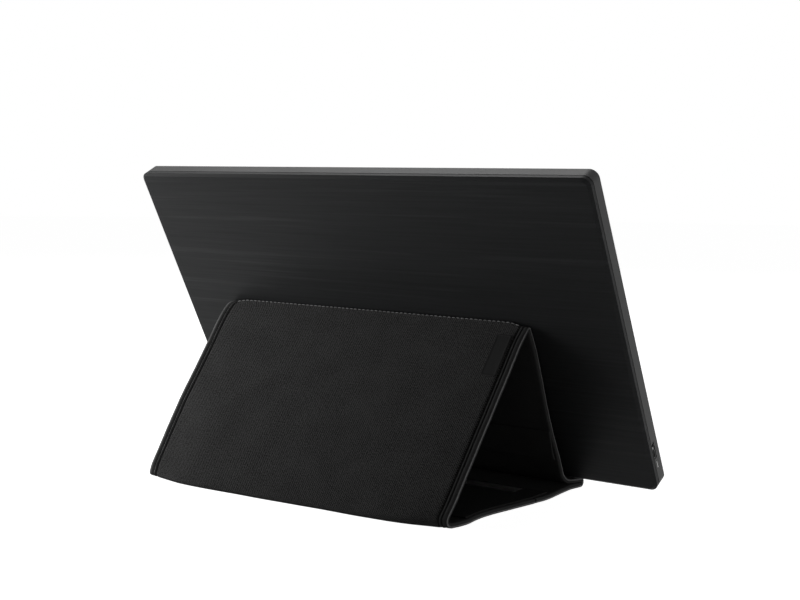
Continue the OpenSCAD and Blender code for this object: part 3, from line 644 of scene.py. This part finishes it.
# %% How far each place has strayed
LEFT_EDGE = {
    "inner": [(0, 0), (60, 4.0), (INNER_L - 10, 7.0), (INNER_L - 3, 6.8), (INNER_L, 5.0)],
    "outer": [(0, 5.0), (3, 7.3), (10, 7.9), (25, 7.3), (40, 5.9), (56, 4.7), (74, 3.7),
              (90, 2.7), (101, 1.4), (111, 0.2), (121, -1.1), (131, -2.5), (141, -3.9),
              (146, -4.7), (OUTER_L, -6.3)],
    "flap": [(0, -6.3), (15, -4.6), (45, -2.2), (90, 0)],
}
RIGHT_EDGE = {
    "base": [(0, -3.8), (9, -4.9), (17, -5.1), (26, -4.5), (40, -3.6), (54, -3.0), (66, -4.6)],
    "toe": [(0, -4.6), (20, 0.4)],
    "inner": [(0, 0.4), (20, 0.3), (50, 1.2), (100, 0.5), (INNER_L, 1.4)],
    "outer": [(0, 1.4), (14, 2.2), (40, 2.5), (75, 3.2), (110, 3.9), (135, 4.4),
              (OUTER_L, 5.4)],
    "flap": [(0, 5.4), (8, 3.8), (15, 2.3), (21, 1.7), (27, 2.1), (34, 3.0), (42, 3.3),
             (50, 2.9), (60, 1.9), (71, 0.3), (84, -1.6), (95, -3.1), (FLAP_L, -3.6)],
}
FOOT_SWING = [(-126, -6.0), (-118, -5.0), (-109, -3.6), (-102, -2.6), (-88, -1.6), (-72, -1.0),
              (-52, -0.6), (-28, 0.0), (-12, 1.0), (4, 1.9), (21, 3.0), (39, 3.5), (56, 4.4),
              (74, 5.2), (98, 5.3), (112, 3.4), (122, 1.8), (136, 1.0)]
# How far the fold at the front goes back at the open end
FRONT_SWING = 5.0


def stray(panel, s, x):
    left, right = ease((x - 50) / 86), ease((-40 - x) / 86)
    dx = dy = dz = 0.0
    if left and panel in LEFT_EDGE:
        dx += left * curve(s, LEFT_EDGE[panel])
    if right and panel in RIGHT_EDGE:
        dx += right * curve(s, RIGHT_EDGE[panel])
    t = s / panels[panel].length
    if panel == "inner":
        dy, dz = -panels["inner"].out * 0.9 * math.sin(math.pi * min(1.0, max(0.0, t)) ** 0.8)
        dz += droop(x) * ease((s - INNER_L + 16) / 16)
    elif panel == "outer":
        dy = curve(x, FOOT_SWING) * t
        dz = droop(x) * ease((16 - s) / 16)
    elif panel == "flap":
        dy = curve(x, FOOT_SWING) * max(0.0, 1 - t)
    elif panel in ("base", "toe"):
        dy = FRONT_SWING * right * (t if panel == "base" else 1 - t)
    return dx, dy, dz


def droop(x):
    return -1.1 * (ease((-110 - x) / 12) + ease((x - 120) / 14))


swing = [value for _, value in FOOT_SWING]
print("the foot's fold swings from", min(swing), "to", max(swing), "mm")


# %% A gentle unevenness in the card and the cloth, the same on every run
ripples = [
    (0.045, 0.031, 0.012, 0.6), (0.035, -0.017, 0.035, 2.1), (0.03, 0.052, -0.021, 4.0),
    (0.02, 0.083, 0.061, 1.3), (0.018, -0.067, 0.094, 5.2), (0.012, 0.14, -0.11, 3.3),
]


def ripple(x, u):
    return sum(a * math.sin(p * x + q * u + r) for a, p, q, r in ripples)


# Width of the edge tape at each end, of the padding's rolled rim, and the padding's height
TAPE_W = {RIGHT_END: 6.5, LEFT_END: 8.1}
RIM_W, PADDING = 3.0, 0.85


def cushion(panel, s, x):
    """The padded face's rise over its card: a rolled rim at the tape, and none on the ridge."""
    if panel == "outer":
        rise = ease((s - 1.5) / 11) * (1 - 0.55 * ease((s - OUTER_L + 12) / 12))
    elif panel == "flap":
        rise = 0.45 * ease((14 - s) / 14)
    else:
        return 0.0
    inset = min(x - RIGHT_END - TAPE_W[RIGHT_END], LEFT_END - x - TAPE_W[LEFT_END])
    return rolled(inset / RIM_W) * rise * (PADDING + ripple(x, s) * 1.3)


print("padding in the middle:", round(cushion("outer", OUTER_L / 2, MIDDLE_X), 2), "mm")


# %% From strip to row frame
def spot(panel, share, s, n, x):
    """A place on the cover in the row frame, in metres, and its distance along the strip."""
    if share is None:
        flat = panels[panel].place(s, n, x)
        home, along = panel, panels[panel].hold(s, 0.0, x)
        u = start_u[panel] + along
    else:
        bend = bends[panel]
        flat, reach = bend.place(share, n, x), bend.reach(0.0, x)
        end = panels[bend.before].length
        u0, u1 = start_u[bend.before] + end - reach, start_u[panel] + reach
        u = u0 + (u1 - u0) * share
        home = bend.before if share < 0.5 else panel
        along = end - reach * (1 - 2 * share) if share < 0.5 else reach * (2 * share - 1)
    dx, dy, dz = stray(home, along, x)
    place = ((x + dx) * MM, (flat[0] - MIDDLE_Y + dy) * MM, max(0.0, flat[1] + dz) * MM)
    return place, u * MM


def at(panel, share, s, n, x):
    return spot(panel, share, s, n, x)[0]


def stops(start, end, step=3.0, fan=14):
    """Stops from one (panel, distance) to another, with a fan of them at each fold."""
    names = ORDER[ORDER.index(start[0]): ORDER.index(end[0]) + 1]
    made = []
    for i, name in enumerate(names):
        s0 = start[1] if i == 0 else 0.0
        s1 = end[1] if i == len(names) - 1 else panels[name].length
        if i:
            for k in range(1, fan):
                made.append((name, k / fan, 0.0))
        for s in np.linspace(s0, s1, max(1, round((s1 - s0) / step)) + 1):
            made.append((name, None, float(s)))
    return made


print("the ridge's middle:", [round(v, 4) for v in at("outer", 0.5, 0.0, 0.0, MIDDLE_X)])


# %% [markdown]
# ## Layers swept along the strip
#
# Cloth, lining, card and tape are all made in the same way: a closed outline across the
# strip, carried from stop to stop. The outline is a list of places across and heights off the
# middle line. Where several points fall on one place, inside a fold, they are merged. Each
# layer has its true thickness, so that its cut edge can be seen at the open end.

# %% The sweep
LONG_OUTLINE = 50


def bridge(build, ring_a, ring_b):
    """Quads between two rings with the same number of points."""
    count = len(ring_a)
    return [build.faces.new((ring_a[i], ring_a[(i + 1) % count],
                             ring_b[(i + 1) % count], ring_b[i])) for i in range(count)]


def swept(name, material, route, outline, paint=None):
    """outline(panel, s, u) gives closed loops of (x, n); paint names finishes, loop by loop."""
    build = bmesh.new()
    strip_map = build.loops.layers.uv.new("strip")
    names = [material] + sorted({name for loop in paint or [] for name in loop} - {material})
    where, rows, faces = {}, [], []
    for panel, share, s in route:
        row = []
        for loop in outline(panel, s, start_u[panel] + s):
            ring = []
            for x, n in loop:
                place, u = spot(panel, share, s, n, x)
                vertex = build.verts.new(place)
                where[vertex] = (x * MM, u)
                ring.append(vertex)
            row.append(ring)
        rows.append(row)
    for before, after in zip(rows, rows[1:]):
        for k, (ring_a, ring_b) in enumerate(zip(before, after)):
            for i, face in enumerate(bridge(build, ring_a, ring_b)):
                face.material_index = names.index(paint[k][i]) if paint else 0
                faces.append(face)
    # The ends: a long thin outline is closed by a row of quads, a short one by one face
    for row in (rows[0], rows[-1]):
        for ring in row:
            half = len(ring) // 2
            if len(ring) > LONG_OUTLINE:
                for i in range(half - 1):
                    corners = (ring[i], ring[i + 1], ring[-2 - i], ring[-1 - i])
                    faces.append(build.faces.new(corners))
            else:
                faces.append(build.faces.new(ring))
    for face in faces:
        for corner in face.loops:
            corner[strip_map].uv = where[corner.vert]
    bmesh.ops.remove_doubles(build, verts=build.verts, dist=2e-6)
    bmesh.ops.dissolve_degenerate(build, edges=build.edges, dist=1e-6)
    bmesh.ops.recalc_face_normals(build, faces=build.faces)
    for face in build.faces:
        face.smooth = True
    for edge in build.edges:
        if len(edge.link_faces) == 2 and edge.calc_face_angle(0.0) > math.radians(40):
            edge.smooth = False
    return object_from(name, build, *names)


def object_from(name, build, *materials):
    mesh = bpy.data.meshes.new(name)
    build.to_mesh(mesh)
    build.free()
    for material in materials:
        mesh.materials.append(finishes[material])
    obj = bpy.data.objects.new(name, mesh)
    scene.collection.objects.link(obj)
    return obj


def across(insets, step=3.0):
    """Places across the strip, closer together near its ends."""
    x0, x1 = RIGHT_END + insets[0], LEFT_END - insets[1]
    edge = [0.0, 0.12, 0.4, 0.9, 1.5, 2.2, 3.1, 4.4, 6.0]
    inner = list(np.linspace(x0 + 8, x1 - 8, round((x1 - x0 - 16) / step) + 1))
    return [x0 + e for e in edge] + [float(x) for x in inner] + [x1 - e for e in reversed(edge)]


def rounded(x, insets, size=0.9):
    """The rolled edge of a cloth at this place across."""
    return rolled(min(x - RIGHT_END - insets[0], LEFT_END - insets[1] - x) / size)


def layer(low, high, insets, puffed=False, roll=True):
    """An outline for a flat layer from height low to height high."""
    xs = across(insets)

    def outline(panel, s, u):
        top = []
        for x in xs:
            h = high + (cushion(panel, s, x) if puffed else 0.0)
            soft = rounded(x, insets) if roll else 1.0
            top.append((x, low + (h - low) * (0.25 + 0.75 * soft)))
        return [top + [(x, low) for x in reversed(xs)]]

    return outline


print("places across a full width:", len(across((0.0, 0.0))))


# %% Card boards, warped with the rest
# The outer card and the flap's card both stop short of the foot's fold line, so that they
# don't meet when the stand is laid flat.
CARD_CLEAR, CARD_FACE, CARD_IN = 6.5, 0.98, 0.95
boards = {
    "toe": ("toe", 0.3, 11.5, "cover_base"),
    "inner": ("inner", 8.8, INNER_L - 2.4, "inner_panel"),
    "outer": ("outer", 2.4, OUTER_L - CARD_CLEAR, "outer_panel"),
    "flap": ("flap", CARD_CLEAR, FLAP_L - 0.7, "flap"),
}
for name, (panel, s0, s1, body) in boards.items():
    card = swept(f"{name}_card", "paperboard", stops((panel, s0), (panel, s1), 5.0),
                 layer(-CARD_FACE, CARD_FACE, (CARD_IN, CARD_IN), roll=False))
    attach(card, body)
    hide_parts(f"{name}_board")
print("cards:", list(boards))

# %% [markdown]
# ## The cloth, in four lengths
#
# On the real cover the cloth is one length, glued over the cards. The folds turn it. Here it
# is cut where a cut doesn't show, into four lengths that each belong to one card or to the
# fold between two: base and toe; toe to inner panel; over the ridge; outer panel to flap.
# The cut over the ridge is beside the row of stitches, where a real cover has its seam. Two
# cards that share a fold share the piece over it.

# %% Where the lengths are cut, and what each is fixed to
LENGTHS = {
    "base": (("base", 0.0), ("toe", 10.5)),
    "inner": (("toe", 10.5), ("inner", INNER_L - 8.0)),
    "ridge": (("inner", INNER_L - 8.0), ("outer", 8.0)),
    "outer": (("outer", 8.0), ("flap", FLAP_L)),
}
SEAM = 2.4


def follow(obj, length):
    if length == "base":
        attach(obj, "cover_base")
    elif length == "inner":
        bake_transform(obj)
    elif length == "ridge":
        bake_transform(obj)
    else:
        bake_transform(obj)
    return obj


def cut(length, seam=False, step=3.0):
    start, end = LENGTHS[length]
    if seam and length == "ridge":
        end = ("outer", SEAM)
    if seam and length == "outer":
        start = ("outer", SEAM)
    return stops(start, end, step)


def flat_size(route, width, n):
    """Width and length of a layer before it is folded, from its own height off the cards."""
    line = [Vector(at(panel, share, s, n, MIDDLE_X)) for panel, share, s in route]
    return (width * MM, sum((b - a).length for a, b in zip(line, line[1:])))


print("lengths of cloth:", list(LENGTHS))


# %% Cloth and lining
CLOTH_NODES = {
    "base": ["base_cloth", "toe_cloth", "toe_fold"],
    "inner": ["inner_fold", "inner_cloth"],
    "ridge": ["ridge_fold"],
    "outer": ["outer_cloth", "foot_fold", "flap_cloth"],
}
LINING_NODES = {
    "base": ["base_lining"],
    "inner": ["inner_lining"],
    "ridge": [],
    "outer": ["outer_lining", "flap_lining"],
}
# How far in from the two ends a layer starts, right end first
CLOTH_IN, LINING_IN = (TAPE_W[RIGHT_END], TAPE_W[LEFT_END]), (5.6, 6.9)
cloths, linings = {}, {}
for length in LENGTHS:
    route = cut(length, seam=True)
    piece = swept(f"cloth_{length}", "cloth", route,
                  layer(CARD_HALF, FACE, CLOTH_IN, puffed=True))
    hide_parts(*CLOTH_NODES[length])
    cloths[length] = (follow(piece, length), route)
    route = cut(length)
    piece = swept(f"lining_{length}", "lining", route, layer(-FACE, -CARD_HALF, LINING_IN))
    if LINING_NODES[length]:
        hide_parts(*LINING_NODES[length])
    linings[length] = (follow(piece, length), route)
print("cloth:", [len(c.data.polygons) for c, r in cloths.values()], "faces")

# %% [markdown]
# ## The bound edges
#
# A tape is folded round both long edges and stitched down. On the outside it shows as a pale
# line at the very edge, a fine crease, a flat face, a sunk line of stitching, a narrow welt,
# and a deep line where it goes under the main cloth. The pale edge is a painted highlight, and
# the crease and the sunk and deep lines are painted shade. Each stitch pulls the tape down, so
# the sunk line is a row of small pits. Inside, the tape is faced with lining. That section is
# swept along the strip once for each end. The left end's tape is the wider. Its bead and its
# welt carry the same painted highlight as its edge, and its sunk lines a darker painted shade.

# %% The tape
# Each row: place across, height, finish. The seam rows are painted shade in the crease and sunk
# lines, the pale edge rows a painted highlight on the cut edge
TAPE = [
    (6.2, -1.30, "lining"), (6.0, -1.50, "lining"), (5.5, -1.58, "lining"),
    (1.4, -1.60, "lining"), (0.75, -1.50, "lining"), (0.30, -1.22, "lining"),
    (0.07, -0.80, "binding"), (0.0, -0.25, "binding"), (0.0, 0.25, "worn_edge"),
    (0.0, 0.6, "worn_edge"), (0.03, 1.05, "worn_edge"), (0.13, 1.34, "bead"),
    (0.33, 1.54, "bead"), (0.60, 1.56, "bead"), (0.80, 1.47, "seam"), (1.0, 1.52, "bead"),
    (1.5, 1.60, "binding"), (2.2, 1.60, "binding"), (2.75, 1.57, "binding"),
    (3.05, 1.52, "binding"), (3.3, 1.42, "seam"), (3.6, 1.38, "seam"), (3.85, 1.42, "seam"),
    (4.0, 1.52, "welt"), (4.2, 1.74, "welt"), (4.5, 1.84, "binding"),
    (4.85, 1.76, "binding"), (5.1, 1.56, "binding"), (5.4, 1.42, "seam"), (5.9, 1.32, "seam"),
    (6.5, 1.24, "seam"), (7.2, 1.14, "seam"), (7.2, 0.99, "seam"), (0.85, 0.99, "seam"),
    (0.85, -0.99, "lining"), (6.2, -0.99, "lining"),
]
STITCH_PITCH = 2.6
# On the left end bead and welt take the painted edge highlight and the sunk lines a darker
# painted shade; on the right end bead and welt are plain tape
LEFT_PAINTED_LIGHT = {"welt": "worn_edge", "bead": "worn_edge", "seam": "deep_seam"}
ON_RIGHT = {"welt": "binding", "bead": "binding"}
TAPE_PAINT = [[side_swap.get(name, name) for _, _, name in TAPE] for side_swap in (LEFT_PAINTED_LIGHT, ON_RIGHT)]


def tape_outline(panel, s, u):
    plump = ease((s - 2.0) / 10) * ease((OUTER_L - s) / 10) if panel == "outer" else 0.0
    pit = math.cos(2 * math.pi * u / STITCH_PITCH)
    loops = []
    for end, side in ((LEFT_END, -1), (RIGHT_END, 1)):
        wide = TAPE_W[end] / TAPE_W[RIGHT_END]
        wave = 0.05 * math.sin(0.21 * u + end) + 0.03 * math.sin(0.53 * u + 2 * end)
        loop = []
        for e, n, _ in TAPE:
            rise = 0.0
            if n > 1.0 and e < 5.2:
                rise = plump * (0.30 * math.exp(-((e - 2.0) / 1.0) ** 2)
                                + 0.12 * math.exp(-((e - 4.6) / 0.4) ** 2))
                rise += 0.08 * (pit - 1) * math.exp(-((e - 3.6) / 0.5) ** 2)
                rise += 0.03 * pit * math.exp(-((e - 2.6) / 0.6) ** 2)
            pull = wave if e < 4.0 else 0.0
            loop.append((end + side * (e * wide + pull), n + rise))
        loops.append(loop)
    return loops


TAPE_NODES = {
    "base": ["base_binding", "toe_binding"],
    "inner": ["inner_binding"],
    "ridge": [],
    "outer": ["outer_binding", "flap_binding"],
}
for length in LENGTHS:
    piece = swept(f"tape_{length}", "binding", cut(length, step=0.65), tape_outline,
                  TAPE_PAINT)
    if TAPE_NODES[length]:
        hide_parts(*TAPE_NODES[length])
    follow(piece, length)

# %% [markdown]
# ## Small sewn pieces
#
# The ridge has a row of pale stitches, each a short loop of thread that comes up out of the
# cloth and goes down again. A blank woven tag is sewn near the open end, with a turned edge
# that stands a little higher than its middle. A strip of lining covers the foot of the inner
# panel, and a wide tongue closes the strip into its ring.

# %% Stitches along the ridge
stitch_build = bmesh.new()
stitch_map = stitch_build.loops.layers.uv.new("strip")
STITCH_STEP, STITCH_LONG, THREAD, ON_FOLD = 3.7, 2.6, 0.27, 0.76
FIRST_STITCH, LAST_STITCH = -119.0, 130.0
stitch_count = int((LAST_STITCH - FIRST_STITCH) / STITCH_STEP)
for i in range(stitch_count):
    centre = FIRST_STITCH + (i + 0.5) * STITCH_STEP
    slant = 0.012 * math.sin(1.7 * i) + 0.008 * math.sin(4.1 * i)
    rings = []
    for k in range(7):
        t = k / 6 * 2 - 1
        thick = THREAD * (1 - 0.35 * t * t)
        ring = []
        for m in range(8):
            a = m / 8 * 2 * math.pi
            share = ON_FOLD + slant * t + thick * math.cos(a) / bends["outer"].length / 1.1
            height = 1.55 + 0.26 * (1 - t * t) + thick * math.sin(a)
            place = at("outer", share, 0.0, height, centre + t * STITCH_LONG / 2)
            ring.append(stitch_build.verts.new(place))
        rings.append(ring)
    for a_ring, b_ring in zip(rings, rings[1:]):
        bridge(stitch_build, a_ring, b_ring)
    stitch_build.faces.new(rings[0])
    stitch_build.faces.new(rings[-1])
bmesh.ops.recalc_face_normals(stitch_build, faces=stitch_build.faces)
for face in stitch_build.faces:
    face.smooth = True
    for corner in face.loops:
        corner[stitch_map].uv = (corner.vert.co.x, corner.vert.co.y)
stitches = object_from("ridge_thread", stitch_build, "thread")
follow(stitches, "ridge")
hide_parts("ridge_stitches")
print("stitches:", stitch_count)

# %% The blank tag
def patch(name, material, centre, size, corner, rings, surface):
    """A sewn patch: rings of a round-cornered outline, each with its inset and its height."""
    build = bmesh.new()
    strip_map = build.loops.layers.uv.new("strip")
    half = (size[0] / 2, size[1] / 2)
    loops = []
    for inset, height in rings:
        r = max(corner - inset, 0.15)
        loop = []
        for qx, qy, a0 in ((1, 1, 0), (-1, 1, 90), (-1, -1, 180), (1, -1, 270)):
            for k in range(6):
                a = math.radians(a0 + 90 * k / 5)
                px = qx * (half[0] - inset - r) + r * math.cos(a)
                py = qy * (half[1] - inset - r) + r * math.sin(a)
                loop.append(build.verts.new(surface(centre[0] + px, centre[1] + py, height)))
        loops.append(loop)
    for a_loop, b_loop in zip(loops, loops[1:]):
        bridge(build, a_loop, b_loop)
    build.faces.new(loops[0])
    build.faces.new(loops[-1])
    bmesh.ops.recalc_face_normals(build, faces=build.faces)
    for face in build.faces:
        face.smooth = len(face.verts) == 4
        for corner_loop in face.loops:
            co = corner_loop.vert.co
            corner_loop[strip_map].uv = (co.x, co.y + co.z)
    return object_from(name, build, material)


def on_cushion(x, s, height):
    return at("outer", None, s, FACE + cushion("outer", s, x) + height, x)


TAG_PLACE, TAG_SIZE, TAG_CORNER = (-112.4, 26.0), (11.8, 33.0), 1.6
TAG_RINGS = [(0.1, -0.2), (0.0, 0.12), (0.25, 0.42), (0.7, 0.5), (1.15, 0.42), (1.4, 0.27),
             (1.7, 0.24), (3.0, 0.26)]
tag = patch("blank_tag", "tag_cloth", TAG_PLACE, TAG_SIZE, TAG_CORNER, TAG_RINGS, on_cushion)
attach(tag, "outer_panel")
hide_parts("tag")
print("tag:", TAG_SIZE, "mm")

# %% The hem strip inside, and the tongue
def inside_layer(low, high, x0, x1, roll, lift=lambda s: 0.0):
    """An outline for a narrow strip inside the ring; lift takes it off the lining."""
    edge = (0.0, 0.15, 0.5, 1.2)
    xs = [x0 + e for e in edge]
    xs += [float(x) for x in np.linspace(x0 + 3, x1 - 3, 60)]
    xs += [x1 - e for e in reversed(edge)]

    def outline(panel, s, u):
        top = []
        for x in xs:
            soft = rolled(min(x - x0, x1 - x) / roll)
            top.append((x, high - lift(s) - (high - low) * (0.35 + 0.65 * soft)))
        return [top + [(x, high - lift(s)) for x in reversed(xs)]]

    return outline


def hem_lift(s):
    return 2.7 * ease((44 - s) / 20) - 0.9 * ease((26 - s) / 6)


HEM_ENDS, TONGUE_ENDS = (-125.2, 135.2), (-123.8, 128.0)
hem_route = stops(("inner", 22.0), ("inner", 44.0), 1.5)
hem = swept("inner_hem", "lining", hem_route,
            inside_layer(-2.3, -1.62, *HEM_ENDS, 0.6, hem_lift))
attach(hem, "inner_panel")
# The tongue runs on past the end of the flap, over the base
panels["flap"].held = False
TONGUE_START, TONGUE_END = 22.8, 119.0
tongue_route = stops(("flap", TONGUE_START), ("flap", TONGUE_END), 3.0)
TONGUE_GAP, TONGUE_T = 0.15, 0.9
TONGUE_TOP = -FACE - TONGUE_GAP
tongue = swept("tongue_cloth", "tongue_cloth", tongue_route,
               inside_layer(TONGUE_TOP - TONGUE_T, TONGUE_TOP, *TONGUE_ENDS, 0.7))
tongue_flat = flat_size(tongue_route, round(TONGUE_ENDS[1] - TONGUE_ENDS[0], 3), -2.2)
panels["flap"].held = True
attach(tongue, "flap")
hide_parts("closing_tongue")
print("tongue:", [round(v, 4) for v in tongue_flat], "m flat")

# %% [markdown]
# ## The mark by the port
#
# A small pale sign is printed on the side wall by the port, so that the port is easy to find.
# This one is a plain bar between two dots and stands for nothing. It is made as three flat
# faces that lie just off the wall, because a print has no height of its own.

# %% A short bar between two dots
MARK_OFF, MARK_Y, MARK_Z = 0.00003, -0.0704, 0.0258
mark_build = bmesh.new()
mark_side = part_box("rear_cover")[0].x
mark_up = Vector((0, math.sin(LEAN), math.cos(LEAN)))
mark_across = Vector((0, math.cos(LEAN), -math.sin(LEAN)))
mark_middle = Vector((mark_side - MARK_OFF, MARK_Y, MARK_Z))
for centre, half_w, half_l in ((0.0, 0.4, 1.3), (1.95, 0.62, 0.55), (-1.95, 0.62, 0.55)):
    ring = []
    for k in range(16):
        a = k / 16 * 2 * math.pi
        w = half_w * math.cos(a)
        l = centre + half_l * math.copysign(abs(math.sin(a)) ** 0.5, math.sin(a))
        ring.append(mark_build.verts.new(mark_middle + (mark_across * w + mark_up * l) * MM))
    mark_build.faces.new(ring)
mark = object_from("port_mark", mark_build, "print")
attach(mark, "display")
print("mark:", len(mark.data.polygons), "faces")

# %% The flat size of every cloth
FULL_W = LEFT_END - RIGHT_END
CLOTH_W, LINING_W = (round(FULL_W - sum(insets), 3) for insets in (CLOTH_IN, LINING_IN))
HEM_W = round(HEM_ENDS[1] - HEM_ENDS[0], 3)
for length in LENGTHS:
    piece, route = cloths[length]
    flat_size(route, CLOTH_W, 1.3)
    piece, route = linings[length]
    flat_size(route, LINING_W, -1.3)
flat_size(hem_route, HEM_W, -1.9)
print("widths of cloth, lining and hem:", CLOTH_W, LINING_W, HEM_W, "mm")

# %% [markdown]
# ## Colour and finish
#
# The picture keeps the plain colour transform, so that the lamps and the finishes alone decide
# how bright a grey comes out.

# %% View
scene.view_settings.view_transform = "Standard"
